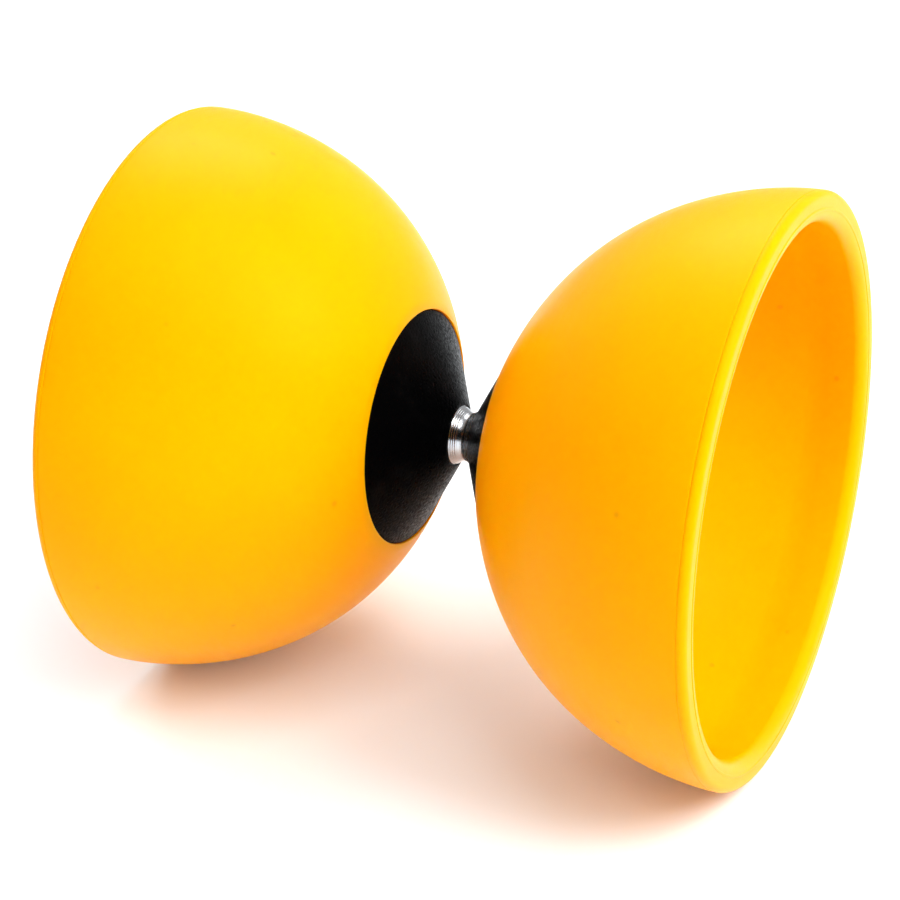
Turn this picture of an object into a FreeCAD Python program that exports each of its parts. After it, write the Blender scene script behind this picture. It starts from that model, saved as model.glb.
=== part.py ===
import FreeCAD, Part
import math
import os
from FreeCAD import Vector

# Fixed-axle diabolo, in millimetres.
# The spin axis is X, and the origin is the middle of the string groove. The right half is
# modelled on the +X side, and the left half is its mirror image in the plane x = 0.
# Every (x, r) pair below is a distance along the axis and a radius from it.

# ---- Overall size -------------------------------------------------------------------------
RIM_RADIUS = 62.5          # outside of the cup's rim
HALF_LENGTH = 71.0         # from the middle plane to the rim's face

# ---- Running clearances -------------------------------------------------------------------
SEAT_CLEARANCE = 0.05      # radial gap of a seated part
PEG_CLEARANCE = 0.10       # radial gap round each driving peg
THREAD_CLEARANCE = 0.02    # radial gap left between the plain stud and the plain nut bore

# ---- Threaded stud and bought fasteners (M8) ----------------------------------------------
STUD_RADIUS = 4.0
STUD_HALF_LENGTH = 35.0
STUD_CHAMFER = 0.8
FLAT_WASHER_BORE_RADIUS = 4.2
FLAT_WASHER_RADIUS = 8.0
FLAT_WASHER_THICKNESS = 1.6
SPRING_WASHER_BORE_RADIUS = 4.1
SPRING_WASHER_RADIUS = 7.4
SPRING_WASHER_THICKNESS = 2.0
SPRING_WASHER_SPLIT = 1.0
SPRING_WASHER_SPLIT_ANGLE = 20.0
NUT_ACROSS_FLATS = 13.0
NUT_HEIGHT = 6.5
NUT_CHAMFER_ANGLE = 30.0

# ---- Axle sleeve with the string groove ---------------------------------------------------
SLEEVE_RADIUS = 6.4
GROOVE_RADIUS = 5.35
GROOVE_HALF_WIDTH = 2.4
GROOVE_FLOOR_HALF_WIDTH = 0.7
SLEEVE_HALF_LENGTH = 7.5
CLEAR_BORE_RADIUS = STUD_RADIUS + SEAT_CLEARANCE

# ---- Hub: a hollow moulded cone -----------------------------------------------------------
HUB_NOSE_X = 2.45
HUB_NOSE_RADIUS = 6.95
HUB_EDGE_X = 12.87
HUB_EDGE_RADIUS = 25.7
HUB_EDGE_ROUND = 0.4
HUB_WALL = 3.0
HUB_SKIRT_WALL = 3.6
HUB_BOSS_RADIUS = 11.0
RIB_COUNT = 6
RIB_THICKNESS = 1.8
PEG_COUNT = 3
PEG_RADIUS = 1.75
PEG_CIRCLE_RADIUS = 16.5
PEG_REACH = 2.6            # how far a peg stands past the cup's floor

# ---- Cup ----------------------------------------------------------------------------------
CUP_FLOOR_X = 15.2         # outer face of the floor, where the hub seats
CUP_FLOOR_THICKNESS = 4.0
LIP_X = 12.6               # the lip that stands round the hub's edge
LIP_ROUND = 0.25
OUTER_WALL_START = (LIP_X, HUB_EDGE_RADIUS + 0.3)
OUTER_WALL_POLES = [(30.3, 62.4), (66.6, RIM_RADIUS)]
RIM_OUTER_ROUND = 1.6
RIM_INNER_ROUND = 2.6
RIM_INNER_RADIUS = 55.8
UNDERCUT_EDGE = (62.2, 57.2)   # where the wall stops leaning in behind the rim
BOWL_EDGE = (58.0, 57.4)       # where the bowl's own curve starts
INNER_WALL_POLES = [(51.0, 56.5), (34.0, 55.0)]
INNER_WALL_END = (CUP_FLOOR_X + CUP_FLOOR_THICKNESS, 30.2)

# ---- Clamp disc that presses the cup's floor against the hub ------------------------------
DISC_RADIUS = 24.0
DISC_THICKNESS = 3.0
DISC_EDGE_ROUND = 0.8
DISC_POCKET_DEPTH = 1.3
DISC_COLLAR_RADIUS = 10.5  # raised seat for the washer
DISC_RIM_WALL = 2.5
PEG_BOSS_RADIUS = 3.2

AXIS = Vector(1, 0, 0)
ORIGIN = Vector(0, 0, 0)
FULL_TURN = 360.0

# Faces that stack along the axle, each one resting on the one before.
CUP_FLOOR_INSIDE_X = CUP_FLOOR_X + CUP_FLOOR_THICKNESS
FLAT_WASHER_X = CUP_FLOOR_INSIDE_X + DISC_THICKNESS
SPRING_WASHER_X = FLAT_WASHER_X + FLAT_WASHER_THICKNESS
NUT_X = SPRING_WASHER_X + SPRING_WASHER_THICKNESS


def at(point):
    """Turn an (x, r) pair into a point of the half section."""
    return Vector(point[0], point[1], 0)


def line(start, end):
    return Part.makeLine(at(start), at(end))


def quarter_round(start, end, corner):
    """A quarter circle from start to end, bulging towards corner."""
    centre = (start[0] + end[0] - corner[0], start[1] + end[1] - corner[1])
    reach = math.sqrt(0.5)
    middle = (
        centre[0] + (corner[0] - centre[0]) * reach,
        centre[1] + (corner[1] - centre[1]) * reach,
    )
    return Part.Arc(at(start), at(middle), at(end)).toShape()


def bezier(*poles):
    curve = Part.BezierCurve()
    curve.setPoles([at(pole) for pole in poles])
    return curve.toShape()


def revolved(edges):
    """Spin a closed half section about the axle and return the solid."""
    face = Part.Face(Part.Wire(edges))
    return face.revolve(ORIGIN, AXIS, FULL_TURN)


def outline(points):
    """Straight edges through the points and back to the first."""
    return [line(a, b) for a, b in zip(points, points[1:] + points[:1])]


def rod(radius, start_x, end_x, y=0.0, z=0.0):
    return Part.makeCylinder(radius, end_x - start_x, Vector(start_x, y, z), AXIS)


def ring(outer_radius, bore_radius, start_x, thickness):
    end_x = start_x + thickness
    return rod(outer_radius, start_x, end_x).cut(rod(bore_radius, start_x, end_x))


def peg_rods(radius, start_x, end_x):
    """The ring of rods that stands for the driving pegs, or for the holes they enter."""
    rods = []
    for index in range(PEG_COUNT):
        angle = 2.0 * math.pi * index / PEG_COUNT + math.pi / 2.0
        y = PEG_CIRCLE_RADIUS * math.cos(angle)
        z = PEG_CIRCLE_RADIUS * math.sin(angle)
        rods.append(rod(radius, start_x, end_x, y, z))
    return rods


def make_axle_sleeve():
    """A turned metal bobbin, waisted in the middle for the string."""
    groove_shoulder = (GROOVE_HALF_WIDTH, SLEEVE_RADIUS)
    floor_end = (GROOVE_FLOOR_HALF_WIDTH, GROOVE_RADIUS + 0.12)
    mirrored_floor_end = (-floor_end[0], floor_end[1])
    mirrored_shoulder = (-groove_shoulder[0], groove_shoulder[1])
    groove_floor = Part.Arc(at(floor_end), at((0.0, GROOVE_RADIUS)), at(mirrored_floor_end))
    return revolved([
        line((-SLEEVE_HALF_LENGTH, CLEAR_BORE_RADIUS), (SLEEVE_HALF_LENGTH, CLEAR_BORE_RADIUS)),
        line((SLEEVE_HALF_LENGTH, CLEAR_BORE_RADIUS), (SLEEVE_HALF_LENGTH, SLEEVE_RADIUS)),
        line((SLEEVE_HALF_LENGTH, SLEEVE_RADIUS), groove_shoulder),
        line(groove_shoulder, floor_end),
        groove_floor.toShape(),
        line(mirrored_floor_end, mirrored_shoulder),
        line(mirrored_shoulder, (-SLEEVE_HALF_LENGTH, SLEEVE_RADIUS)),
        line((-SLEEVE_HALF_LENGTH, SLEEVE_RADIUS), (-SLEEVE_HALF_LENGTH, CLEAR_BORE_RADIUS)),
    ])


def make_axle_stud():
    """The threaded rod through the whole object, as a plain bar with chamfered ends."""
    tip = STUD_RADIUS - STUD_CHAMFER
    shoulder_x = STUD_HALF_LENGTH - STUD_CHAMFER
    return revolved(outline([
        (-STUD_HALF_LENGTH, 0.0),
        (-STUD_HALF_LENGTH, tip),
        (-shoulder_x, STUD_RADIUS),
        (shoulder_x, STUD_RADIUS),
        (STUD_HALF_LENGTH, tip),
        (STUD_HALF_LENGTH, 0.0),
    ]))


def hub_cone_x(radius, wall=0.0):
    """Where the hub's cone stands at a radius, or its inner face when a wall is given."""
    slope = (HUB_EDGE_X - HUB_NOSE_X) / (HUB_EDGE_RADIUS - HUB_NOSE_RADIUS)
    return HUB_NOSE_X + (radius - HUB_NOSE_RADIUS) * slope + wall * math.hypot(1.0, slope)


def make_hub():
    """A hollow cone with a central boss, stiffening ribs and three driving pegs."""
    seat_radius = SLEEVE_RADIUS + SEAT_CLEARANCE
    edge_inner = HUB_EDGE_RADIUS - HUB_EDGE_ROUND
    edge_start = (hub_cone_x(edge_inner), edge_inner)
    edge_end = (HUB_EDGE_X + HUB_EDGE_ROUND, HUB_EDGE_RADIUS)
    edge_middle = (HUB_EDGE_X + 0.04, HUB_EDGE_RADIUS - 0.12)
    body = revolved([
        line((HUB_NOSE_X, seat_radius), (HUB_NOSE_X, HUB_NOSE_RADIUS)),
        line((HUB_NOSE_X, HUB_NOSE_RADIUS), edge_start),
        Part.Arc(at(edge_start), at(edge_middle), at(edge_end)).toShape(),
        line(edge_end, (CUP_FLOOR_X, HUB_EDGE_RADIUS)),
        line((CUP_FLOOR_X, HUB_EDGE_RADIUS), (CUP_FLOOR_X, HUB_BOSS_RADIUS)),
        line((CUP_FLOOR_X, HUB_BOSS_RADIUS), (CUP_FLOOR_INSIDE_X, HUB_BOSS_RADIUS)),
        line((CUP_FLOOR_INSIDE_X, HUB_BOSS_RADIUS), (CUP_FLOOR_INSIDE_X, CLEAR_BORE_RADIUS)),
        line((CUP_FLOOR_INSIDE_X, CLEAR_BORE_RADIUS), (SLEEVE_HALF_LENGTH, CLEAR_BORE_RADIUS)),
        line((SLEEVE_HALF_LENGTH, CLEAR_BORE_RADIUS), (SLEEVE_HALF_LENGTH, seat_radius)),
        line((SLEEVE_HALF_LENGTH, seat_radius), (HUB_NOSE_X, seat_radius)),
    ])
    skirt_inside = HUB_EDGE_RADIUS - HUB_SKIRT_WALL
    pocket = revolved(outline([
        (hub_cone_x(HUB_BOSS_RADIUS, HUB_WALL), HUB_BOSS_RADIUS),
        (hub_cone_x(skirt_inside, HUB_WALL), skirt_inside),
        (CUP_FLOOR_X, skirt_inside),
        (CUP_FLOOR_X, HUB_BOSS_RADIUS),
    ]))
    hub = body.cut(pocket.cut(Part.makeCompound(radial_ribs(CUP_FLOOR_X, skirt_inside))))
    peg_root_x = hub_cone_x(PEG_CIRCLE_RADIUS, HUB_WALL) - 0.5 * HUB_WALL
    peg_end_x = CUP_FLOOR_INSIDE_X + PEG_REACH
    return hub.multiFuse(peg_rods(PEG_RADIUS, peg_root_x, peg_end_x)).removeSplitter()


def radial_ribs(length, reach):
    """Ribs of one length along the axle, evenly spaced round it and clear of the pegs."""
    ribs = []
    for index in range(RIB_COUNT):
        rib = Part.makeBox(length, RIB_THICKNESS, reach, Vector(0, -0.5 * RIB_THICKNESS, 0))
        rib.rotate(ORIGIN, AXIS, FULL_TURN * (index + 0.5) / RIB_COUNT)
        ribs.append(rib)
    return ribs


def make_cup():
    """A soft bowl: a flat clamped floor, a wall that thickens outwards and a heavy rim."""
    recess_radius = HUB_EDGE_RADIUS + SEAT_CLEARANCE
    hole_radius = HUB_BOSS_RADIUS + SEAT_CLEARANCE
    lip_start = (LIP_X + LIP_ROUND, recess_radius)
    outer_end = (HALF_LENGTH - RIM_OUTER_ROUND, RIM_RADIUS)
    face_outer = (HALF_LENGTH, RIM_RADIUS - RIM_OUTER_ROUND)
    face_inner = (HALF_LENGTH, RIM_INNER_RADIUS + RIM_INNER_ROUND)
    rim_inner = (HALF_LENGTH - RIM_INNER_ROUND, RIM_INNER_RADIUS)
    cup = revolved([
        quarter_round(lip_start, OUTER_WALL_START, (LIP_X, recess_radius)),
        bezier(OUTER_WALL_START, *OUTER_WALL_POLES, outer_end),
        quarter_round(outer_end, face_outer, (HALF_LENGTH, RIM_RADIUS)),
        line(face_outer, face_inner),
        quarter_round(face_inner, rim_inner, (HALF_LENGTH, RIM_INNER_RADIUS)),
        line(rim_inner, UNDERCUT_EDGE),
        line(UNDERCUT_EDGE, BOWL_EDGE),
        bezier(BOWL_EDGE, *INNER_WALL_POLES, INNER_WALL_END),
        line(INNER_WALL_END, (CUP_FLOOR_INSIDE_X, hole_radius)),
        line((CUP_FLOOR_INSIDE_X, hole_radius), (CUP_FLOOR_X, hole_radius)),
        line((CUP_FLOOR_X, hole_radius), (CUP_FLOOR_X, recess_radius)),
        line((CUP_FLOOR_X, recess_radius), lip_start),
    ])
    holes = peg_rods(PEG_RADIUS + PEG_CLEARANCE, CUP_FLOOR_X, CUP_FLOOR_INSIDE_X)
    return cup.cut(Part.makeCompound(holes))


def make_clamp_disc():
    """A moulded disc that spreads the nut's load over the cup's floor.

    Its outer face is pocketed between a collar for the washer and the rim, and keeps radial
    ribs and a boss round each peg.
    """
    start_x = CUP_FLOOR_INSIDE_X
    end_x = start_x + DISC_THICKNESS
    disc = ring(DISC_RADIUS, CLEAR_BORE_RADIUS, start_x, DISC_THICKNESS)
    rims = [
        edge for edge in disc.Edges
        if isinstance(edge.Curve, Part.Circle) and edge.Curve.Radius > 0.9 * DISC_RADIUS
    ]
    disc = disc.makeFillet(DISC_EDGE_ROUND, rims)
    pocket = ring(
        DISC_RADIUS - DISC_RIM_WALL, DISC_COLLAR_RADIUS, end_x - DISC_POCKET_DEPTH,
        DISC_POCKET_DEPTH,
    )
    kept = radial_ribs(end_x, DISC_RADIUS) + peg_rods(PEG_BOSS_RADIUS, start_x, end_x)
    holes = peg_rods(PEG_RADIUS + PEG_CLEARANCE, start_x, end_x)
    return disc.cut(pocket.cut(Part.makeCompound(kept))).cut(Part.makeCompound(holes))


def make_flat_washer():
    return ring(
        FLAT_WASHER_RADIUS, FLAT_WASHER_BORE_RADIUS, FLAT_WASHER_X, FLAT_WASHER_THICKNESS
    )


def make_spring_washer():
    """A flattened split washer, cut through at a slant."""
    washer = ring(
        SPRING_WASHER_RADIUS, SPRING_WASHER_BORE_RADIUS, SPRING_WASHER_X,
        SPRING_WASHER_THICKNESS,
    )
    middle_x = SPRING_WASHER_X + 0.5 * SPRING_WASHER_THICKNESS
    reach = 2.0 * SPRING_WASHER_THICKNESS
    split = Part.makeBox(
        2.0 * reach, SPRING_WASHER_SPLIT, SPRING_WASHER_RADIUS,
        Vector(middle_x - reach, -0.5 * SPRING_WASHER_SPLIT, 0),
    )
    split.rotate(Vector(middle_x, 0, 0), Vector(0, 0, 1), SPRING_WASHER_SPLIT_ANGLE)
    return washer.cut(split)


def make_nut():
    """A hexagon nut with both ends chamfered, standing on one corner."""
    corner_radius = 0.5 * NUT_ACROSS_FLATS / math.cos(math.pi / 6.0)
    corners = []
    for index in range(6):
        angle = math.pi * index / 3.0 + math.pi / 2.0
        corners.append(
            Vector(NUT_X, corner_radius * math.cos(angle), corner_radius * math.sin(angle))
        )
    hexagon = Part.Face(Part.makePolygon(corners + corners[:1]))
    prism = hexagon.extrude(Vector(NUT_HEIGHT, 0, 0))
    flat_radius = 0.48 * NUT_ACROSS_FLATS
    drop = (corner_radius - flat_radius) * math.tan(math.radians(NUT_CHAMFER_ANGLE))
    end_x = NUT_X + NUT_HEIGHT
    turned = revolved(outline([
        (NUT_X, 0.0),
        (NUT_X, flat_radius),
        (NUT_X + drop, corner_radius),
        (end_x - drop, corner_radius),
        (end_x, flat_radius),
        (end_x, 0.0),
    ]))
    bore = rod(STUD_RADIUS + THREAD_CLEARANCE, NUT_X, end_x)
    return prism.common(turned).cut(bore)


def export(shape, node):
    """Check that a shape is sound and write it as one node's file."""
    if not shape.isValid() or len(shape.Solids) != 1:
        raise RuntimeError(node + " is not one valid solid")
    shape.Solids[0].exportStep(os.path.join("parts", node + ".step"))
    print(node, round(shape.Volume), "mm3")


HALF_PIECES = {
    "cup": make_cup,
    "hub": make_hub,
    "clamp_disc": make_clamp_disc,
    "flat_washer": make_flat_washer,
    "spring_washer": make_spring_washer,
    "nut": make_nut,
}

os.makedirs("parts", exist_ok=True)
export(make_axle_sleeve(), "axle_sleeve")
export(make_axle_stud(), "axle_stud")
for name, make in HALF_PIECES.items():
    piece = make()
    export(piece, "right_" + name)
    export(piece.mirror(ORIGIN, AXIS), "left_" + name)
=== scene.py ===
"""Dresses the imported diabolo: two soft cups on conical hubs, clamped to a waisted axle.

Every piece is turned, moulded or threaded here as a maker would describe it, in millimetres
about the axle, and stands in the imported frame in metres. The axle lies along X.
"""

import logging
import math
from dataclasses import dataclass, field
from enum import Enum
from typing import Any, Iterable

import bmesh
import bpy
from mathutils import Matrix, Vector
from mathutils.geometry import interpolate_bezier


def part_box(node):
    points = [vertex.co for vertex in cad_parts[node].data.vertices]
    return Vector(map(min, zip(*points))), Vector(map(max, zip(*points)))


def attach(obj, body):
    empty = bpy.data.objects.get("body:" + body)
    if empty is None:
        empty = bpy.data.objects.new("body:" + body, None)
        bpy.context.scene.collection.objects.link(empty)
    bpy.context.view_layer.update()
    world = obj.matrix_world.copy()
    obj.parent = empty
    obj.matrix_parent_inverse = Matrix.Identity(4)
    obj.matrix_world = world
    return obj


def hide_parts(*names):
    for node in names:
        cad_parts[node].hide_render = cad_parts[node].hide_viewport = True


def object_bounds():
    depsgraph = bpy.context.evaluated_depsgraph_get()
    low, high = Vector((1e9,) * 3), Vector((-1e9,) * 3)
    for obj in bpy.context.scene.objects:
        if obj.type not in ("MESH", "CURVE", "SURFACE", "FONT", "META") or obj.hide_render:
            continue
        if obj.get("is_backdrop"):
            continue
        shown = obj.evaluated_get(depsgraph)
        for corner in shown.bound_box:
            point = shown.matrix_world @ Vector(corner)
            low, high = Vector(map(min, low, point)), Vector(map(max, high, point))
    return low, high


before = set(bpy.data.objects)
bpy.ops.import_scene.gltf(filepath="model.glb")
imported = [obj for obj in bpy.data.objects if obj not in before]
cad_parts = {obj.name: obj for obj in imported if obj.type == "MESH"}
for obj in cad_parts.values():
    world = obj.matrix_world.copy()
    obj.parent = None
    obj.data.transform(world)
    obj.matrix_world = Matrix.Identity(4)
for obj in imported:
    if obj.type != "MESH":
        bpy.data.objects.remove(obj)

LOG = logging.getLogger("diabolo")
MM = 0.001
BODY = "root"
AXLE = Vector((1.0, 0.0, 0.0))
CIRCLE_HANDLE = 0.5523  # how far a curve's handle reaches to draw a quarter circle
HANDLE_RISE = 4.0 / 3.0  # how much higher a curve's handles stand than its crest
WELD_DISTANCE = 1e-7
SHARP_ANGLE = math.radians(38.0)
OVERSHOOT = 1.0  # how far a cutting tool runs past what it cuts, in mm
STUD_BORE = 4.05  # radius of the clearance hole round the threaded rod, in mm
BOSS_RADIUS = 11.0  # radius of the hub's boss, which the cup's floor slips over, in mm
CUP_FLOOR = 4.0  # thickness of the cup's clamped floor, in mm
MIX_SHARE, MIX_LOW, MIX_HIGH, MIXED = 0, 6, 7, 2  # the colour sockets of a Mix node
Colour = tuple[float, float, float]


class Side(Enum):
    """Which end of the axle a piece is on."""

    LEFT = -1
    RIGHT = 1

    def label(self, part: str) -> str:
        """Name a node or a piece on this side, as in left_cup."""
        return f"{self.name.lower()}_{part}"


# ---------------------------------------------------------------------------------------
# Shader graphs
# ---------------------------------------------------------------------------------------


@dataclass(frozen=True)
class Value:
    """A number that varies over a surface, so that shader maths reads as an expression."""

    graph: "Graph"
    socket: bpy.types.NodeSocket

    def _math(self, operation: str, *terms: Any) -> "Value":
        """Add one Math node.

        Args:
            operation: Blender's name for the operation.
            terms: The inputs in order, each a number or a Value.

        Returns:
            The node's result.
        """
        inputs = dict(enumerate(terms))
        return self.graph.value("ShaderNodeMath", {"operation": operation}, inputs)

    def __add__(self, other: Any) -> "Value":
        """Add."""
        return self._math("ADD", self, other)

    __radd__ = __add__

    def __sub__(self, other: Any) -> "Value":
        """Subtract."""
        return self._math("SUBTRACT", self, other)

    def __rsub__(self, other: Any) -> "Value":
        """Subtract this from a number."""
        return self._math("SUBTRACT", other, self)

    def __mul__(self, other: Any) -> "Value":
        """Multiply."""
        return self._math("MULTIPLY", self, other)

    __rmul__ = __mul__

    def __gt__(self, other: Any) -> "Value":
        """Give one where this is above the other, and nothing elsewhere."""
        return self._math("GREATER_THAN", self, other)

    def __lt__(self, other: Any) -> "Value":
        """Give one where this is below the other, and nothing elsewhere."""
        return self._math("LESS_THAN", self, other)

    def ramp(self, low: float, high: float) -> "Value":
        """Stretch the span from low to high over nought to one, with soft ends."""
        return self.graph.value(
            "ShaderNodeMapRange",
            {"interpolation_type": "SMOOTHSTEP"},
            {"Value": self, "From Min": low, "From Max": high},
            "Result",
        )


class Graph:
    """The shader graph of one material."""

    def __init__(self, name: str) -> None:
        """Start a material with an empty Principled surface.

        Args:
            name: The material's name.
        """
        self.material = bpy.data.materials.new(name)
        self.material.use_nodes = True
        self.tree = self.material.node_tree
        self.tree.nodes.clear()
        self.surface = self.node("ShaderNodeBsdfPrincipled")
        output = self.node("ShaderNodeOutputMaterial")
        self.tree.links.new(self.surface.outputs["BSDF"], output.inputs["Surface"])

    @classmethod
    def wrap(cls, tree: bpy.types.NodeTree) -> "Graph":
        """Work on a tree that is there already.

        Args:
            tree: The node tree.

        Returns:
            A graph that adds nodes to it.
        """
        graph = cls.__new__(cls)
        graph.tree = tree
        return graph

    def node(
        self,
        kind: str,
        settings: dict[str, Any] | None = None,
        inputs: dict[str | int, Any] | None = None,
    ) -> bpy.types.Node:
        """Create a node, set it up and feed it.

        Args:
            kind: Blender's type name for the node.
            settings: Properties to set first.
            inputs: Numbers, colours, sockets or Values, by the socket's name or place.

        Returns:
            The new node.
        """
        made = self.tree.nodes.new(kind)
        for name, setting in (settings or {}).items():
            setattr(made, name, setting)
        for name, item in (inputs or {}).items():
            self.feed(made.inputs[name], item)
        return made

    def feed(self, socket: bpy.types.NodeSocket, item: Any) -> None:
        """Link or set one input.

        Args:
            socket: The input.
            item: A Value or an output socket to link, or a constant to set.
        """
        if isinstance(item, Value):
            item = item.socket
        if isinstance(item, bpy.types.NodeSocket):
            self.tree.links.new(item, socket)
        elif isinstance(item, tuple) and len(item) == 3 and socket.type == "RGBA":
            socket.default_value = (*item, 1.0)
        else:
            socket.default_value = item

    def value(
        self,
        kind: str,
        settings: dict[str, Any] | None = None,
        inputs: dict[str | int, Any] | None = None,
        output: str | int = 0,
    ) -> Value:
        """Create a node and wrap one of its outputs.

        Args:
            kind: Blender's type name for the node.
            settings: Properties to set first.
            inputs: What its inputs are fed.
            output: The name or place of the output.

        Returns:
            The output as a Value.
        """
        return Value(self, self.node(kind, settings, inputs).outputs[output])

    def place(self, scale: tuple[float, float, float] = (1.0, 1.0, 1.0)) -> Value:
        """Give the surface point in the piece's own metres, stretched by a scale.

        Args:
            scale: How much each axis is stretched.

        Returns:
            The point, for a texture's Vector input.
        """
        point = self.value("ShaderNodeTexCoord", output="Object")
        return self.value("ShaderNodeMapping", inputs={"Vector": point, "Scale": scale})

    def noise(self, per_metre: float, detail: float = 2.0, place: Value | None = None) -> Value:
        """Give soft random patches.

        Args:
            per_metre: How many patches there are to a metre.
            detail: How many finer layers are added.
            place: Where to read the pattern, if not at the plain surface point.

        Returns:
            A value about one half.
        """
        inputs = {"Vector": place or self.place(), "Scale": per_metre, "Detail": detail}
        return self.value("ShaderNodeTexNoise", None, inputs, "Fac")

    def blend(self, share: Value, low: Colour | Value, high: Colour | Value) -> Value:
        """Mix two colours.

        Args:
            share: How much of the second colour shows.
            low: The first colour.
            high: The second colour.

        Returns:
            The mixed colour.
        """
        inputs = {MIX_SHARE: share, MIX_LOW: low, MIX_HIGH: high}
        return self.value("ShaderNodeMix", {"data_type": "RGBA"}, inputs, MIXED)

    def bump(self, height: Value, depth_mm: float, under: Value | None = None) -> Value:
        """Turn a height into a surface normal.

        Args:
            height: The relief, from nought to one.
            depth_mm: How tall a height of one is.
            under: A coarser normal that this relief lies on.

        Returns:
            The normal.
        """
        inputs: dict[str, Any] = {"Height": height, "Distance": depth_mm * MM}
        if under is not None:
            inputs["Normal"] = under
        return self.value("ShaderNodeBump", None, inputs, "Normal")

    def paint(self, **inputs: Any) -> bpy.types.Material:
        """Feed the surface and finish the material.

        Args:
            inputs: The surface's inputs, with underscores for spaces.

        Returns:
            The finished material.
        """
        for name, item in inputs.items():
            self.feed(self.surface.inputs[name.replace("_", " ")], item)
        return self.material


# ---------------------------------------------------------------------------------------
# Finishes
# ---------------------------------------------------------------------------------------


@dataclass(frozen=True)
class CupRubber:
    """Soft translucent yellow rubber with a satin skin."""

    slot: str = "cup_rubber"
    yellow: Colour = (1.0, 0.395, 0.0)
    deep_yellow: Colour = (1.0, 0.375, 0.0)
    speck: Colour = (0.55, 0.22, 0.01)
    specks_per_metre: float = 90.0
    speck_edge: tuple[float, float] = (0.020, 0.090)  # a share of the specks' spacing
    speck_gaps: float = 0.50  # the share of places that hold no speck
    speck_strength: float = 0.42
    roughness: float = 0.36
    gloss: float = 0.08
    sheen: Colour = (1.0, 0.75, 0.05)
    glow_depth_mm: float = 6.0

    def material(self) -> bpy.types.Material:
        """Mix the rubber: drifting colour, a fine satin grain and a few moulded-in specks."""
        graph = Graph("cup_rubber")
        drift = graph.noise(per_metre=22.0, detail=3.0)
        grain = graph.noise(per_metre=2600.0, detail=1.0)
        flow = graph.noise(per_metre=160.0, detail=2.0, place=graph.place((3.0, 1.0, 1.0)))
        body = graph.blend(drift.ramp(0.35, 0.65), self.yellow, self.deep_yellow)
        specks = graph.node(
            "ShaderNodeTexVoronoi",
            {"feature": "F1"},
            {"Vector": graph.place(), "Scale": self.specks_per_metre, "Randomness": 1.0},
        )
        near = Value(graph, specks.outputs["Distance"])
        lot = graph.value("ShaderNodeSeparateColor", None, {0: specks.outputs["Color"]})
        spot = 1.0 - near.ramp(*self.speck_edge)
        mark = spot * (lot > self.speck_gaps) * self.speck_strength
        colour = graph.blend(mark, body, self.speck)
        satin = self.roughness + (flow - 0.5) * 0.10 + (grain - 0.5) * 0.14
        relief = graph.bump(grain, depth_mm=0.012, under=graph.bump(flow, depth_mm=0.05))
        return graph.paint(
            Base_Color=colour,
            Roughness=satin,
            Normal=relief,
            IOR=1.50,
            Specular_IOR_Level=self.gloss,
            Specular_Tint=(*self.sheen, 1.0),
            Subsurface_Weight=0.45,
            Subsurface_Radius=(1.0, 0.34, 0.06),
            Subsurface_Scale=self.glow_depth_mm * MM,
        )


@dataclass(frozen=True)
class HubPlastic:
    """Black plastic with the fine spark-eroded grain of its mould."""

    slot: str = "hub_plastic"
    black: Colour = (0.0008, 0.0008, 0.0009)
    worn: Colour = (0.0032, 0.0028, 0.0028)
    roughness: float = 0.42
    gloss: float = 0.05
    sheen: Colour = (0.06, 0.06, 0.07)

    def material(self) -> bpy.types.Material:
        """Mix the plastic: near black, a fine even grain and a faint scuffed haze."""
        graph = Graph("hub_plastic")
        grain = graph.noise(per_metre=1700.0, detail=2.0)
        haze = graph.noise(per_metre=140.0, detail=4.0)
        colour = graph.blend(haze.ramp(0.52, 0.80), self.black, self.worn)
        matte = self.roughness + (haze - 0.5) * 0.16 + (grain - 0.5) * 1.10
        return graph.paint(
            Base_Color=colour,
            Roughness=matte,
            Normal=graph.bump(grain, depth_mm=0.110),
            IOR=1.47,
            Specular_IOR_Level=self.gloss,
            Specular_Tint=(*self.sheen, 1.0),
        )


@dataclass(frozen=True)
class TurnedSteel:
    """Bright steel straight from the lathe, with fine rings round the axle."""

    slot: str = "sleeve_steel"
    bright: Colour = (0.57, 0.58, 0.60)
    dull: Colour = (0.34, 0.35, 0.37)
    roughness: float = 0.19

    def material(self) -> bpy.types.Material:
        """Mix the steel: rings that follow the tool, and a few rubbed dull patches."""
        graph = Graph("turned_steel")
        rings = graph.noise(per_metre=9000.0, detail=2.0, place=graph.place((1.0, 0.012, 0.012)))
        rubbed = graph.noise(per_metre=420.0, detail=3.0)
        colour = graph.blend(rubbed.ramp(0.48, 0.75) * 0.6, self.bright, self.dull)
        polish = self.roughness + (rings - 0.5) * 0.22 + (rubbed - 0.5) * 0.18
        return graph.paint(
            Base_Color=colour,
            Metallic=1.0,
            Roughness=polish,
            Normal=graph.bump(rings, depth_mm=0.004),
        )


@dataclass(frozen=True)
class ZincSteel:
    """Bright zinc plate on bought fasteners."""

    slot: str = "fastener_steel"
    bright: Colour = (0.50, 0.51, 0.53)
    cloudy: Colour = (0.34, 0.35, 0.35)
    roughness: float = 0.30

    def material(self) -> bpy.types.Material:
        """Mix the plate: cloudy patches, fine scratches and a slight orange peel."""
        graph = Graph("zinc_steel")
        cloud = graph.noise(per_metre=300.0, detail=4.0)
        scratch = graph.noise(per_metre=900.0, detail=2.0, place=graph.place((1.0, 6.0, 0.3)))
        colour = graph.blend(cloud.ramp(0.40, 0.70), self.bright, self.cloudy)
        polish = self.roughness + (cloud - 0.5) * 0.25 + (scratch - 0.5) * 0.16
        return graph.paint(
            Base_Color=colour,
            Metallic=1.0,
            Roughness=polish,
            Normal=graph.bump(scratch, depth_mm=0.012, under=graph.bump(cloud, depth_mm=0.02)),
        )


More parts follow.
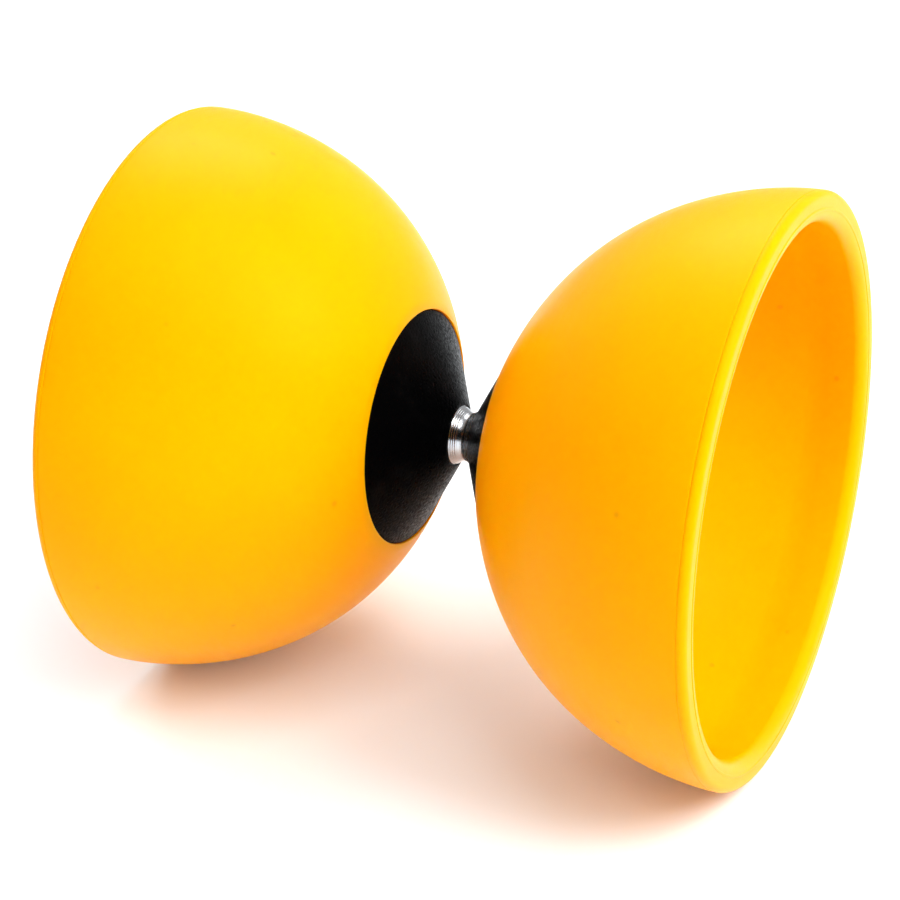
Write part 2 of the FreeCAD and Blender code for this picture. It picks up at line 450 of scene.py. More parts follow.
Finish = CupRubber | HubPlastic | TurnedSteel | ZincSteel


class Palette:
    """Mixes each finish once and hands out the same material after that."""

    _mixed: dict[Finish, bpy.types.Material] = {}

    @classmethod
    def of(cls, finish: Finish) -> bpy.types.Material:
        """Find or mix a finish's material.

        Args:
            finish: The finish.

        Returns:
            Its material.
        """
        if finish not in cls._mixed:
            cls._mixed[finish] = finish.material()
        return cls._mixed[finish]


# ---------------------------------------------------------------------------------------
# Shaping
# ---------------------------------------------------------------------------------------


@dataclass
class Section:
    """Half of a turned outline: points at a distance along the axle and a radius, in mm."""

    points: list[Vector] = field(default_factory=list)

    def line(self, *ends: tuple[float, float]) -> "Section":
        """Go straight through some points.

        Args:
            ends: Each corner in turn.

        Returns:
            This section, to go on drawing.
        """
        self.points.extend(Vector((x, radius, 0.0)) for x, radius in ends)
        return self

    def curve(
        self,
        handle: tuple[float, float],
        end_handle: tuple[float, float],
        end: tuple[float, float],
        count: int,
    ) -> "Section":
        """Sweep a smooth curve from the last point.

        Args:
            handle: Where the curve first heads.
            end_handle: Where it comes from at the end.
            end: Where it ends.
            count: How many straight steps stand for it.

        Returns:
            This section, to go on drawing.
        """
        knots = [self.points[-1], *(Vector((*p, 0.0)) for p in (handle, end_handle, end))]
        self.points.extend(interpolate_bezier(*knots, count + 1)[1:])
        return self

    def corner(
        self, corner: tuple[float, float], end: tuple[float, float], count: int = 6
    ) -> "Section":
        """Round a corner with a quarter circle from the last point.

        Args:
            corner: The sharp corner that is rounded off.
            end: Where the round ends.
            count: How many straight steps stand for it.

        Returns:
            This section, to go on drawing.
        """
        start, middle, stop = self.points[-1], Vector((*corner, 0.0)), Vector((*end, 0.0))
        handle = start.lerp(middle, CIRCLE_HANDLE)
        end_handle = stop.lerp(middle, CIRCLE_HANDLE)
        return self.curve(tuple(handle.xy), tuple(end_handle.xy), end, count)

    def rib(
        self, start: tuple[float, float], end: tuple[float, float], height: float
    ) -> "Section":
        """Raise a small half-round rib, or sink a groove, between two points.

        Args:
            start: Where it begins.
            end: Where it ends.
            height: How far it stands out to the left of the way drawn; below nought it sinks.

        Returns:
            This section, to go on drawing.
        """
        first, last = Vector((*start, 0.0)), Vector((*end, 0.0))
        way = last - first
        out = Vector((-way.y, way.x, 0.0)).normalized() * height * HANDLE_RISE
        self.points.append(first)
        return self.curve(tuple((first + out).xy), tuple((last + out).xy), end, count=6)


class Workshop:
    """Makes meshes from sections and simple blanks, and hands out finished pieces."""

    @staticmethod
    def turn(section: Section, side: Side, steps: int, closed: bool = True) -> bmesh.types.BMesh:
        """Turn a section a full circle about the axle.

        Args:
            section: The half outline.
            side: The end of the axle that the outline is for.
            steps: How many flats stand for the circle.
            closed: Whether the outline runs back to its first point.

        Returns:
            The turned mesh, in metres, with its faces outwards.
        """
        mesh = bmesh.new()
        verts = [
            mesh.verts.new((side.value * p.x * MM, 0.0, p.y * MM)) for p in section.points
        ]
        pairs = list(zip(verts, verts[1:]))
        if closed:
            pairs.append((verts[-1], verts[0]))
        edges = [mesh.edges.new(pair) for pair in pairs]
        bmesh.ops.spin(
            mesh,
            geom=verts + edges,
            cent=(0.0, 0.0, 0.0),
            axis=AXLE,
            angle=2.0 * math.pi,
            steps=steps,
            use_merge=True,
        )
        Workshop.weld(mesh)
        return mesh

    @staticmethod
    def weld(mesh: bmesh.types.BMesh) -> None:
        """Close seams and poles and turn every face outwards.

        Args:
            mesh: The mesh to clean.
        """
        bmesh.ops.remove_doubles(mesh, verts=mesh.verts, dist=WELD_DISTANCE)
        bmesh.ops.dissolve_degenerate(mesh, dist=WELD_DISTANCE, edges=mesh.edges)
        bmesh.ops.recalc_face_normals(mesh, faces=mesh.faces)

    @staticmethod
    def rod(
        radius: float, start: float, end: float, offset: Vector, sides: int = 40
    ) -> bmesh.types.BMesh:
        """Make a plain rod along the axle.

        Args:
            radius: Its radius in mm.
            start: Where one end is along the axle, in mm.
            end: Where the other end is, in mm.
            offset: How far its middle line is from the axle, in mm.
            sides: How many flats stand for the circle.

        Returns:
            The rod's mesh, in metres.
        """
        mesh = bmesh.new()
        middle = Vector((0.5 * (start + end), 0.0, 0.0)) + offset
        place = Matrix.Translation(middle * MM) @ Matrix.Rotation(0.5 * math.pi, 4, "Y")
        bmesh.ops.create_cone(
            mesh,
            cap_ends=True,
            segments=sides,
            radius1=radius * MM,
            radius2=radius * MM,
            depth=abs(end - start) * MM,
            matrix=place,
        )
        return mesh

    @staticmethod
    def bar(low: Vector, high: Vector, turn: float) -> bmesh.types.BMesh:
        """Make a square bar and swing it round the axle.

        Args:
            low: Its lowest corner in mm.
            high: Its highest corner in mm.
            turn: How far it swings round the axle, in radians.

        Returns:
            The bar's mesh, in metres.
        """
        mesh = bmesh.new()
        bmesh.ops.create_cube(mesh, size=1.0)
        bmesh.ops.scale(mesh, vec=(high - low) * MM, verts=mesh.verts)
        bmesh.ops.translate(mesh, vec=(high + low) * 0.5 * MM, verts=mesh.verts)
        swing = Matrix.Rotation(turn, 3, "X")
        bmesh.ops.rotate(mesh, cent=(0, 0, 0), matrix=swing, verts=mesh.verts)
        return mesh

    @staticmethod
    def spokes(
        count: int,
        thickness: float,
        edges: tuple[float, float],
        reach: tuple[float, float],
        side: Side,
    ) -> list[bmesh.types.BMesh]:
        """Make ribs that run outwards like spokes, evenly round the axle.

        Args:
            count: How many ribs there are.
            thickness: How thick each one is, in mm.
            edges: Where its two long edges are along the axle, in mm from the middle.
            reach: How far from the axle it starts and stops, in mm.
            side: The end of the axle that they are on.

        Returns:
            The ribs' meshes.
        """
        near, far = sorted(side.value * edge for edge in edges)
        low = Vector((near, -0.5 * thickness, reach[0]))
        high = Vector((far, 0.5 * thickness, reach[1]))
        turns = (2.0 * math.pi * (index + 0.5) / count for index in range(count))
        return [Workshop.bar(low, high, turn) for turn in turns]

    @staticmethod
    def piece(name: str, mesh: bmesh.types.BMesh) -> bpy.types.Object:
        """Turn a mesh into an object with smooth rounds and crisp edges.

        Args:
            name: The object's name.
            mesh: The mesh, which is used up.

        Returns:
            The object, at the origin.
        """
        data = bpy.data.meshes.new(name)
        mesh.to_mesh(data)
        mesh.free()
        data.shade_smooth()
        data.set_sharp_from_angle(angle=SHARP_ANGLE)
        made = bpy.data.objects.new(name, data)
        bpy.context.scene.collection.objects.link(made)
        return made

    @staticmethod
    def carve(
        work: bpy.types.Object, tools: Iterable[bmesh.types.BMesh], operation: str
    ) -> bpy.types.Object:
        """Cut tools out of a piece, or weld them onto it, and keep the result.

        Args:
            work: The piece that is changed.
            tools: Closed meshes, which are used up.
            operation: DIFFERENCE to cut, UNION to weld.

        Returns:
            The same piece.
        """
        for index, tool in enumerate(tools):
            cutter = Workshop.piece(f"{work.name}_tool_{index}", tool)
            step = work.modifiers.new("carve", "BOOLEAN")
            step.operation, step.object, step.solver = operation, cutter, "EXACT"
            graph = bpy.context.evaluated_depsgraph_get()
            made = bpy.data.meshes.new_from_object(work.evaluated_get(graph))
            work.modifiers.clear()
            old, work.data = work.data, made
            bpy.data.meshes.remove(old)
            bpy.data.objects.remove(cutter)
        work.data.set_sharp_from_angle(angle=SHARP_ANGLE)
        return work

    @staticmethod
    def soften(work: bpy.types.Object, width: float) -> None:
        """Break a piece's sharp edges with a narrow rounded bevel.

        Args:
            work: The piece.
            width: The bevel's width in mm.
        """
        bevel = work.modifiers.new("broken_edges", "BEVEL")
        bevel.width = width * MM
        bevel.segments = 2
        bevel.limit_method = "ANGLE"
        bevel.angle_limit = SHARP_ANGLE
        bevel.harden_normals = True


def hand_over(piece: bpy.types.Object, finish: Finish, *nodes: str) -> None:
    """Dress a piece and set it in the frame in place of its plain nodes.

    Args:
        piece: The finished shape.
        finish: The finish that its surface takes.
        nodes: The frame's nodes that it stands for.
    """
    piece.data.materials.clear()
    piece.data.materials.append(Palette.of(finish))
    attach(piece, BODY)
    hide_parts(*nodes)
    LOG.info("%s: %d faces for %s", piece.name, len(piece.data.polygons), ", ".join(nodes))


@dataclass(frozen=True)
class Span:
    """How far a node reaches along its side of the axle, and out from it, in mm."""

    near: float
    far: float
    radius: float

    @classmethod
    def of(cls, node: str) -> "Span":
        """Read a node's span from the frame.

        Args:
            node: The node's name.

        Returns:
            Its span, with both distances counted outwards from the middle.
        """
        low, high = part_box(node)
        ends = sorted((abs(low.x), abs(high.x)))
        return cls(ends[0] / MM, ends[1] / MM, high.z / MM)


# ---------------------------------------------------------------------------------------
# The driving pegs that the hub, the cup and the disc share
# ---------------------------------------------------------------------------------------


@dataclass(frozen=True)
class PegCircle:
    """Three pegs on a circle round the axle, which stop the cup from turning on its hub."""

    count: int = 3
    circle_radius: float = 16.5
    peg_radius: float = 1.75
    clearance: float = 0.10

    def rods(self, radius: float, start: float, end: float, side: Side) -> list[bmesh.types.BMesh]:
        """Make one rod at each peg's place.

        Args:
            radius: The rods' radius in mm.
            start: Their inner end's distance from the middle, in mm.
            end: Their outer end's distance, in mm.
            side: The end of the axle that they are on.

        Returns:
            The rods' meshes.
        """
        made = []
        for index in range(self.count):
            angle = 2.0 * math.pi * index / self.count
            offset = Vector((0.0, -math.sin(angle), math.cos(angle))) * self.circle_radius
            made.append(Workshop.rod(radius, side.value * start, side.value * end, offset))
        return made

    def holes(self, start: float, end: float, side: Side) -> list[bmesh.types.BMesh]:
        """Make the drills for the holes that the pegs pass through.

        Args:
            start: Where the drilled wall begins, in mm from the middle.
            end: Where it ends.
            side: The end of the axle that it is on.

        Returns:
            The drills' meshes, which run past the wall at both ends.
        """
        bore = self.peg_radius + self.clearance
        return self.rods(bore, start - OVERSHOOT, end + OVERSHOOT, side)


# ---------------------------------------------------------------------------------------
# Cups
# ---------------------------------------------------------------------------------------


@dataclass
class Cup:
    """One soft bowl: a clamped floor, a wall that thickens outwards and a heavy rim."""

    side: Side
    pegs: PegCircle
    finish: CupRubber = CupRubber()
    seat_clearance: float = 0.05
    lip_round: float = 0.25
    lip_width: float = 0.3
    wall_heading: tuple[float, float] = (30.3, 62.4)
    wall_arrival_x: float = 66.6
    outer_round: float = 1.6
    inner_round: float = 2.6
    rim_inner_radius: float = 55.8
    undercut_edge: tuple[float, float] = (62.2, 57.2)
    bowl_edge: tuple[float, float] = (58.0, 57.4)
    inner_heading: tuple[float, float] = (51.0, 56.5)
    inner_arrival: tuple[float, float] = (34.0, 55.0)
    floor_edge_radius: float = 30.2
    parting_width: float = 0.34
    parting_step: float = 0.16
    parting_depth: float = 0.14
    face_bead: tuple[float, float] = (59.1, 58.4)
    face_bead_height: float = 0.16
    steps: int = 224

    def section(self) -> Section:
        """Draw the bowl's half section, once round its wall."""
        cup = Span.of(self.side.label("cup"))
        hub = Span.of(self.side.label("hub"))
        inside = Span.of(self.side.label("clamp_disc")).near
        recess = hub.radius + self.seat_clearance
        hole = BOSS_RADIUS + self.seat_clearance
        seat = inside - CUP_FLOOR
        wall_start = (cup.near, hub.radius + self.lip_width)
        round_start = cup.far - self.outer_round
        parting_end = round_start - self.parting_step
        parting = parting_end - self.parting_width
        section = Section().line((seat, hole), (seat, recess), (cup.near + self.lip_round, recess))
        section.corner((cup.near, recess), wall_start)
        self._outer_wall(section, parting, cup.radius)
        groove = ((parting, cup.radius), (parting_end, cup.radius))
        section.rib(*groove, -self.parting_depth)
        section.line((round_start, cup.radius))
        section.corner((cup.far, cup.radius), (cup.far, cup.radius - self.outer_round), count=10)
        bead_outer, bead_inner = self.face_bead
        section.rib((cup.far, bead_outer), (cup.far, bead_inner), self.face_bead_height)
        inner = self.rim_inner_radius
        section.corner((cup.far, inner), (cup.far - self.inner_round, inner), count=14)
        section.line(self.undercut_edge, self.bowl_edge)
        floor_edge = (inside, self.floor_edge_radius)
        section.curve(self.inner_heading, self.inner_arrival, floor_edge, count=44)
        section.line((inside, hole))
        return section

    def _outer_wall(self, section: Section, end: float, radius: float) -> None:
        """Sweep the wall from the lip up to the rim.

        Args:
            section: The section, drawn as far as the lip.
            end: Where the sweep stops, in mm from the middle.
            radius: The rim's outer radius.
        """
        section.curve(self.wall_heading, (self.wall_arrival_x, radius), (end, radius), count=56)

    def build(self) -> None:
        """Turn the bowl, drill it for the pegs and set it in the frame."""
        mesh = Workshop.turn(self.section(), self.side, self.steps)
        piece = Workshop.piece(self.side.label("cup_bowl"), mesh)
        inside = Span.of(self.side.label("clamp_disc")).near
        drills = self.pegs.holes(inside - CUP_FLOOR, inside, self.side)
        Workshop.carve(piece, drills, "DIFFERENCE")
        hand_over(piece, self.finish, self.side.label("cup"))


# ---------------------------------------------------------------------------------------
# Hubs
# ---------------------------------------------------------------------------------------


@dataclass
class Hub:
    """The black cone between a cup and the string, hollow behind, with its driving pegs."""

    side: Side
    pegs: PegCircle
    finish: HubPlastic = HubPlastic()
    nose_radius: float = 6.95
    nose_bore: float = 6.45
    nose_round: float = 0.25
    edge_x: float = 12.87
    edge_round: float = 0.4
    wall: float = 3.0
    skirt_wall: float = 3.6
    peg_reach: float = 2.6
    rib_count: int = 6
    rib_thickness: float = 1.8
    rib_root: float = 0.5
    rib_start: float = 1.0
    rib_sunk: float = 0.1
    steps: int = 192

    def _cone(self, radius: float, wall: float = 0.0) -> float:
        """Find where the cone stands at a radius.

        Args:
            radius: The radius in mm.
            wall: How thick a wall to step back through.

        Returns:
            The distance from the middle in mm.
        """
        hub = Span.of(self.side.label("hub"))
        slope = (self.edge_x - hub.near) / (hub.radius - self.nose_radius)
        return hub.near + (radius - self.nose_radius) * slope + wall * math.hypot(1.0, slope)

    def build(self) -> None:
        """Turn the cone, weld on its ribs and pegs and set it in the frame."""
        hub = Span.of(self.side.label("hub"))
        sleeve = Span.of("axle_sleeve")
        back = Span.of(self.side.label("clamp_disc")).near
        seat = back - CUP_FLOOR
        edge = hub.radius - self.edge_round
        skirt = hub.radius - self.skirt_wall
        nose_end = self.nose_radius + self.nose_round
        lip = (hub.near, self.nose_bore + self.nose_round)
        rim = (self.edge_x + self.edge_round, hub.radius)
        section = Section().line((hub.near + self.nose_round, self.nose_bore))
        section.corner((hub.near, self.nose_bore), lip, count=4)
        section.corner((hub.near, self.nose_radius), (self._cone(nose_end), nose_end), count=5)
        section.line((self._cone(edge), edge))
        section.corner((self.edge_x, hub.radius), rim, count=5)
        section.line(
            (seat, hub.radius),
            (seat, skirt),
            (self._cone(skirt, self.wall), skirt),
            (self._cone(BOSS_RADIUS, self.wall), BOSS_RADIUS),
            (back, BOSS_RADIUS),
            (back, STUD_BORE),
            (sleeve.far, STUD_BORE),
            (sleeve.far, self.nose_bore),
        )
        name = self.side.label("hub_cone")
        piece = Workshop.piece(name, Workshop.turn(section, self.side, self.steps))
        edges = (self._cone(skirt) + self.rib_start, seat - self.rib_sunk)
        reach = (BOSS_RADIUS - self.rib_root, skirt + self.rib_root)
        ribs = Workshop.spokes(self.rib_count, self.rib_thickness, edges, reach, self.side)
        Workshop.carve(piece, ribs, "UNION")
        root = self._cone(self.pegs.circle_radius, self.wall) - 0.5 * self.wall
        pegs = self.pegs.rods(self.pegs.peg_radius, root, back + self.peg_reach, self.side)
        Workshop.carve(piece, pegs, "UNION")
        hand_over(piece, self.finish, self.side.label("hub"))


# ---------------------------------------------------------------------------------------
# Axle
# ---------------------------------------------------------------------------------------


@dataclass
class AxleSleeve:
    """The turned bobbin that the string runs on."""

    finish: TurnedSteel = TurnedSteel()
    groove_radius: float = 5.35
    groove_half_width: float = 2.4
    groove_floor: float = 0.7
    groove_dip: float = 0.12
    ring_pitch: float = 0.42
    ring_depth: float = 0.024
    steps: int = 160

    def _flank(self, x: float) -> float:
        """Give the groove's radius at a distance from its middle.

        Args:
            x: The distance along the axle in mm.

        Returns:
            The radius in mm, before the tool rings are cut.
        """
        shoulder = Span.of("axle_sleeve").radius
        floor_edge = self.groove_radius + self.groove_dip
        if abs(x) < self.groove_floor:
            return self.groove_radius + self.groove_dip * (x / self.groove_floor) ** 2
        share = (abs(x) - self.groove_floor) / (self.groove_half_width - self.groove_floor)
        return floor_edge + share * (shoulder - floor_edge)

    def build(self) -> None:
        """Turn the bobbin with the lathe tool's rings in its groove."""
        sleeve = Span.of("axle_sleeve")
        section = Section().line((sleeve.far, STUD_BORE), (sleeve.far, sleeve.radius))
        count = 2 * round(self.groove_half_width / self.ring_pitch)
        stations = [
            self.groove_half_width - 2.0 * self.groove_half_width * index / count
            for index in range(count + 1)
        ]
        for start, end in zip(stations, stations[1:]):
            section.rib((start, self._flank(start)), (end, self._flank(end)), self.ring_depth)
        section.line((-sleeve.far, sleeve.radius), (-sleeve.far, STUD_BORE))
        mesh = Workshop.turn(section, Side.RIGHT, self.steps)
        hand_over(Workshop.piece("axle_bobbin", mesh), self.finish, "axle_sleeve")


@dataclass
class AxleStud:
    """The threaded rod that pulls the two halves together."""

    finish: ZincSteel = ZincSteel()
    pitch: float = 1.25
    thread_depth: float = 0.68
    flank_slope: float = 2.9
    root_flat: float = 0.18
    chamfer: float = 0.9
    steps: int = 40
    rings_per_pitch: int = 12

    def build(self) -> None:
        """Turn a plain bar, then cut its thread by moving each ring in and out."""
        stud = Span.of("axle_stud")
        count = round(2.0 * stud.far / self.pitch * self.rings_per_pitch)
        section = Section().line((-stud.far, 0.0))
        section.line(*(
            (-stud.far + 2.0 * stud.far * index / count, stud.radius)
            for index in range(count + 1)
        ))
        section.line((stud.far, 0.0))
        mesh = Workshop.turn(section, Side.RIGHT, self.steps, closed=False)
        for vert in mesh.verts:
            radius = math.hypot(vert.co.y, vert.co.z) / MM
            if radius > 0.5 * stud.radius:
                cut = self._radius(vert.co.x / MM, math.atan2(vert.co.z, vert.co.y), stud)
                vert.co.y *= cut / radius
                vert.co.z *= cut / radius
        hand_over(Workshop.piece("axle_threaded_rod", mesh), self.finish, "axle_stud")

    def _radius(self, x: float, angle: float, stud: Span) -> float:
        """Give the thread's radius at one point of the bar.

        Args:
            x: The distance along the axle in mm.
            angle: The angle round the axle in radians.
            stud: The bar's own span.

        Returns:
            The radius in mm.
        """
        turn = (x / self.pitch + angle / (2.0 * math.pi)) % 1.0
        flank = min(1.0, max(0.0, self.flank_slope * abs(turn - 0.5) - self.root_flat))
        chamfer = stud.radius - max(0.0, abs(x) - (stud.far - self.chamfer))
        return min(chamfer, stud.radius - self.thread_depth * (1.0 - flank))


# ---------------------------------------------------------------------------------------
# Clamp discs and fasteners
# ---------------------------------------------------------------------------------------


@dataclass
class ClampDisc:
    """The ribbed disc inside a cup that holds its floor against the hub."""

    side: Side
    pegs: PegCircle
    finish: HubPlastic = HubPlastic(
        black=(0.011, 0.011, 0.012), worn=(0.024, 0.023, 0.023), gloss=0.32, sheen=(0.8, 0.8, 0.85)
    )
    edge_round: float = 0.8
    pocket_depth: float = 1.3
    collar_radius: float = 10.5
    rim_wall: float = 2.5
    boss_radius: float = 3.2
    rib_count: int = 6
    rib_thickness: float = 1.8
    root: float = 0.5
    rib_sunk: float = 0.30
    boss_sunk: float = 0.15
    broken_edge: float = 0.08
    steps: int = 132

    def build(self) -> None:
        """Turn the disc with its pocket, then weld on the ribs and bosses and drill it."""
        disc = Span.of(self.side.label("clamp_disc"))
        pocket = disc.far - self.pocket_depth
        rim = disc.radius - self.rim_wall
        flat = disc.radius - self.edge_round
        section = Section().line((disc.near, STUD_BORE), (disc.near, flat))
        section.corner((disc.near, disc.radius), (disc.near + self.edge_round, disc.radius))
        section.line((disc.far - self.edge_round, disc.radius))
        section.corner((disc.far, disc.radius), (disc.far, flat))
        section.line(
            (disc.far, rim),
            (pocket, rim),
            (pocket, self.collar_radius),
            (disc.far, self.collar_radius),
            (disc.far, STUD_BORE),
        )
        name = self.side.label("clamp_plate")
        piece = Workshop.piece(name, Workshop.turn(section, self.side, self.steps))
        edges = (pocket - self.root, disc.far - self.rib_sunk)
        reach = (self.collar_radius - self.root, rim + self.root)
        ribs = Workshop.spokes(self.rib_count, self.rib_thickness, edges, reach, self.side)
        Workshop.carve(piece, ribs, "UNION")
        boss_top = disc.far - self.boss_sunk
        bosses = self.pegs.rods(self.boss_radius, pocket - self.root, boss_top, self.side)
        Workshop.carve(piece, bosses, "UNION")
        drills = self.pegs.holes(disc.near, disc.far, self.side)
        Workshop.carve(piece, drills, "DIFFERENCE")
        Workshop.soften(piece, self.broken_edge)
        hand_over(piece, self.finish, self.side.label("clamp_disc"))


@dataclass
class FlatWasher:
    """A punched washer: one edge rolled over, the other left crisp."""

    side: Side
    finish: ZincSteel = ZincSteel()
    bore: float = 4.2
    rolled_edge: float = 0.45
    rim_break: float = 0.1
    bore_break: float = 0.2
    steps: int = 96

    def build(self) -> None:
        """Turn the washer and set it in the frame."""
        washer = Span.of(self.side.label("flat_washer"))
        outer = washer.radius
        section = Section().line((washer.near, self.bore), (washer.near, outer - self.rim_break))
        section.line((washer.near + self.rim_break, outer), (washer.far - self.rolled_edge, outer))
        section.corner((washer.far, outer), (washer.far, outer - self.rolled_edge))
        section.line((washer.far, self.bore + self.bore_break))
        section.line((washer.far - self.bore_break, self.bore))
        name = self.side.label("plain_washer")
        piece = Workshop.piece(name, Workshop.turn(section, self.side, self.steps))
        hand_over(piece, self.finish, self.side.label("flat_washer"))


@dataclass
class SpringWasher:
    """A split washer of square wire, closed flat by the nut."""

    side: Side
    finish: ZincSteel = ZincSteel()
    bore: float = 4.1
    split: float = 1.0
    split_angle: float = 20.0
    edge_break: float = 0.22
    blade_reach: float = 4.0
    steps: int = 96

    def build(self) -> None:
        """Turn the ring and saw the slanted split through it."""
        ring = Span.of(self.side.label("spring_washer"))
        cut = self.edge_break
        section = Section().line(
            (ring.near, self.bore + cut),
            (ring.near, ring.radius - cut),
            (ring.near + cut, ring.radius),
            (ring.far - cut, ring.radius),
            (ring.far, ring.radius - cut),
            (ring.far, self.bore + cut),
            (ring.far - cut, self.bore),
            (ring.near + cut, self.bore),
        )
        name = self.side.label("split_washer")
        piece = Workshop.piece(name, Workshop.turn(section, self.side, self.steps))
        Workshop.carve(piece, [self._saw(ring)], "DIFFERENCE")
        hand_over(piece, self.finish, self.side.label("spring_washer"))

    def _saw(self, ring: Span) -> bmesh.types.BMesh:
        """Make the slanted blade that leaves the split.

        Args:
            ring: The washer's own span.

        Returns:
            The blade's mesh.
        """
        middle = self.side.value * 0.5 * (ring.near + ring.far)
        half = 0.5 * self.split
        low = Vector((middle - self.blade_reach, -half, 0.0))
        high = Vector((middle + self.blade_reach, half, ring.radius + OVERSHOOT))
        blade = Workshop.bar(low, high, 0.0)
        slant = Matrix.Rotation(math.radians(self.side.value * self.split_angle), 3, "Z")
        bmesh.ops.rotate(blade, cent=(middle * MM, 0, 0), matrix=slant, verts=blade.verts)
        return blade


@dataclass
class HexNut:
    """A hexagon nut, chamfered at both ends and countersunk at its bore."""

    side: Side
    finish: ZincSteel = ZincSteel()
    bore: float = 4.0
    countersink: float = 0.45
    across_flats: float = 13.0
    face_share: float = 0.96
    chamfer_angle: float = 30.0
    blank_break: float = 0.1
    steps: int = 96

    def build(self) -> None:
        """Turn a blank, then push its outer wall out to the hexagon under the chamfers."""
        nut = Span.of(self.side.label("nut"))
        face = 0.5 * self.across_flats * self.face_share
        sink = self.bore + self.countersink
        wall = 0.5 * self.across_flats
        section = Section().line(
            (nut.near + self.countersink, self.bore), (nut.near, sink), (nut.near, face)
        )
        section.line((nut.near + self.blank_break, wall), (nut.far - self.blank_break, wall))
        section.line((nut.far, face), (nut.far, sink), (nut.far - self.countersink, self.bore))
        mesh = Workshop.turn(section, self.side, self.steps)
        for vert in mesh.verts:
            radius = math.hypot(vert.co.y, vert.co.z) / MM
            if radius > 0.5 * (face + wall):
                self._push(vert, radius, nut, face)
        piece = Workshop.piece(self.side.label("hexagon_nut"), mesh)
        hand_over(piece, self.finish, self.side.label("nut"))

    def _push(self, vert: bmesh.types.BMVert, radius: float, nut: Span, face: float) -> None:
        """Move one point of the outer wall out to its flat, and back under the chamfer.

        Args:
            vert: The point.
            radius: How far it stands from the axle, in mm.
            nut: The nut's own span.
            face: Where the flat end face gives way to the chamfer.
        """
        angle = math.atan2(vert.co.y, vert.co.z)
        sixth = math.pi / 3.0
        lean = (angle % sixth) - 0.5 * sixth
        reach = 0.5 * self.across_flats / math.cos(lean)
        drop = (reach - face) * math.tan(math.radians(self.chamfer_angle))
        middle = 0.5 * (nut.near + nut.far)
        outwards = 1.0 if abs(vert.co.x) / MM > middle else -1.0
        height = middle + outwards * (0.5 * (nut.far - nut.near) - drop)
        vert.co.x = self.side.value * height * MM
        vert.co.y *= reach / radius
        vert.co.z *= reach / radius


# ---------------------------------------------------------------------------------------
# Studio
# ---------------------------------------------------------------------------------------


@dataclass(frozen=True)
class SoftBox:
    """One square soft light that faces the object, and that shiny surfaces mirror or don't."""

    name: str
    place: tuple[float, float, float]
    watts: float
    mirrored: bool = True
    size: float = 0.80

    def hang(self) -> None:
        """Hang the light and aim it at the middle of the object."""
        data = bpy.data.lights.new(self.name, "AREA")
        data.shape = "SQUARE"
        data.size = self.size
        data.energy = self.watts
        lamp = bpy.data.objects.new(self.name, data)
        lamp.location = self.place
        lamp.visible_glossy = self.mirrored
        lamp.rotation_euler = (-Vector(self.place)).to_track_quat("-Z", "Y").to_euler()
        bpy.context.scene.collection.objects.link(lamp)


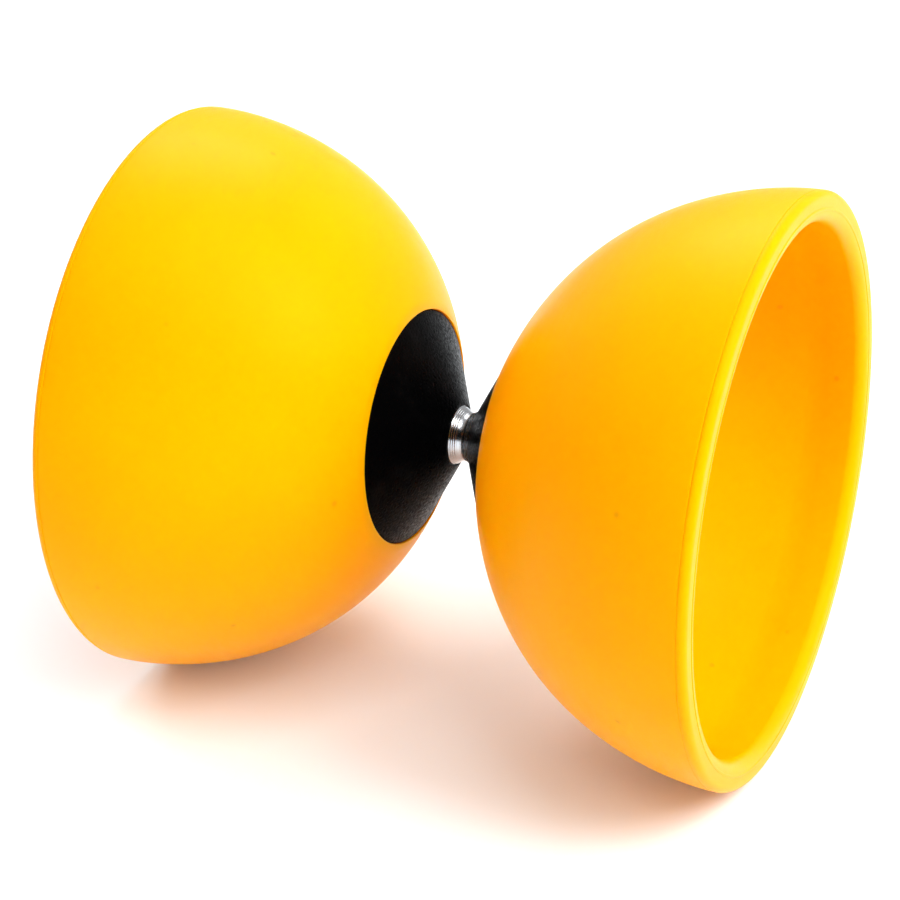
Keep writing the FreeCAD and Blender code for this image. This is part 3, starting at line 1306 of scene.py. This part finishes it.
@dataclass(frozen=True)
class Studio:
    """A pale, faintly glowing floor in a white room that is dim on the viewer's side."""

    floor_size: float = 12.0
    floor_colour: Colour = (0.87, 0.91, 0.94)
    floor_glow: float = 0.07
    bright_wall: float = 0.50
    dim_wall: float = 0.0
    dim_side: tuple[float, float] = (0.02, 0.38)
    dim_top: tuple[float, float] = (0.66, 0.84)
    lights: tuple[SoftBox, ...] = (
        SoftBox("over_right", (0.45, -0.30, 1.25), 8.5),
        SoftBox("high_right", (1.10, -0.10, 0.95), 17.5),
        SoftBox("front_right", (0.75, -1.05, 0.95), 9.8, mirrored=False),
        SoftBox("back_left", (-1.10, 0.80, 0.60), 12.5, mirrored=False),
        SoftBox("high_back", (-0.35, 0.85, 1.15), 6.5),
    )

    def build(self) -> None:
        """Lay the floor, light the room and hang the lights."""
        mesh = bmesh.new()
        bmesh.ops.create_grid(mesh, x_segments=1, y_segments=1, size=0.5 * self.floor_size)
        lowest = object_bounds()[0].z
        bmesh.ops.translate(mesh, vec=(0.0, 0.0, lowest), verts=mesh.verts)
        floor = Workshop.piece("floor", mesh)
        floor.data.materials.append(self._floor_paint())
        floor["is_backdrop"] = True
        self._light_room()
        bpy.context.scene.view_settings.view_transform = "Standard"
        for light in self.lights:
            light.hang()

    def _light_room(self) -> None:
        """Make the walls of the room white, and dim where the viewer stands."""
        world = bpy.data.worlds.new("room")
        world.use_nodes = True
        graph = Graph.wrap(world.node_tree)
        facing = graph.value("ShaderNodeTexCoord", output="Generated")
        way = graph.node("ShaderNodeSeparateXYZ", None, {0: facing})
        towards_viewer = -1.0 * Value(graph, way.outputs["Y"])
        height = Value(graph, way.outputs["Z"])
        dimness = towards_viewer.ramp(*self.dim_side) * (1.0 - height.ramp(*self.dim_top))
        light = self.bright_wall + dimness * (self.dim_wall - self.bright_wall)
        backdrop = world.node_tree.nodes["Background"]
        graph.feed(backdrop.inputs["Strength"], light)
        graph.feed(backdrop.inputs["Color"], (1.0, 1.0, 1.0))
        bpy.context.scene.world = world

    def _floor_paint(self) -> bpy.types.Material:
        """Mix the plain matt white of the floor, which is lit a little from below."""
        graph = Graph("floor_paint")
        return graph.paint(
            Base_Color=self.floor_colour,
            Roughness=0.85,
            Emission_Color=self.floor_colour,
            Emission_Strength=self.floor_glow,
        )


@dataclass(frozen=True)
class Viewpoint:
    """Where the camera stands: three-quarters from the front, looking a little down."""

    azimuth: float = 24.0
    elevation: float = 24.34
    distance: float = 0.580
    aim: tuple[float, float, float] = (-0.0035, -0.0026, -0.0027)
    lens: float = 108.07

    def build(self) -> None:
        """Stand the camera and make it the scene's own."""
        data = bpy.data.cameras.new("camera")
        data.lens = self.lens
        camera = bpy.data.objects.new("camera", data)
        turn, lift = math.radians(self.azimuth), math.radians(self.elevation)
        back = Vector((
            math.sin(turn) * math.cos(lift), -math.cos(turn) * math.cos(lift), math.sin(lift)
        ))
        camera.location = Vector(self.aim) + back * self.distance
        camera.rotation_euler = (-back).to_track_quat("-Z", "Y").to_euler()
        bpy.context.scene.collection.objects.link(camera)
        bpy.context.scene.camera = camera


def main() -> None:
    """Build the diabolo from its two halves and its axle, then the studio round it."""
    logging.basicConfig(level=logging.INFO, format="%(name)s: %(message)s")
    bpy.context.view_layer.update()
    Viewpoint().build()
    Studio().build()
    pegs = PegCircle()
    AxleSleeve().build()
    AxleStud().build()
    for side in Side:
        Cup(side, pegs).build()
        Hub(side, pegs).build()
        ClampDisc(side, pegs).build()
        FlatWasher(side).build()
        SpringWasher(side).build()
        HexNut(side).build()


if __name__ == "__main__":
    main()
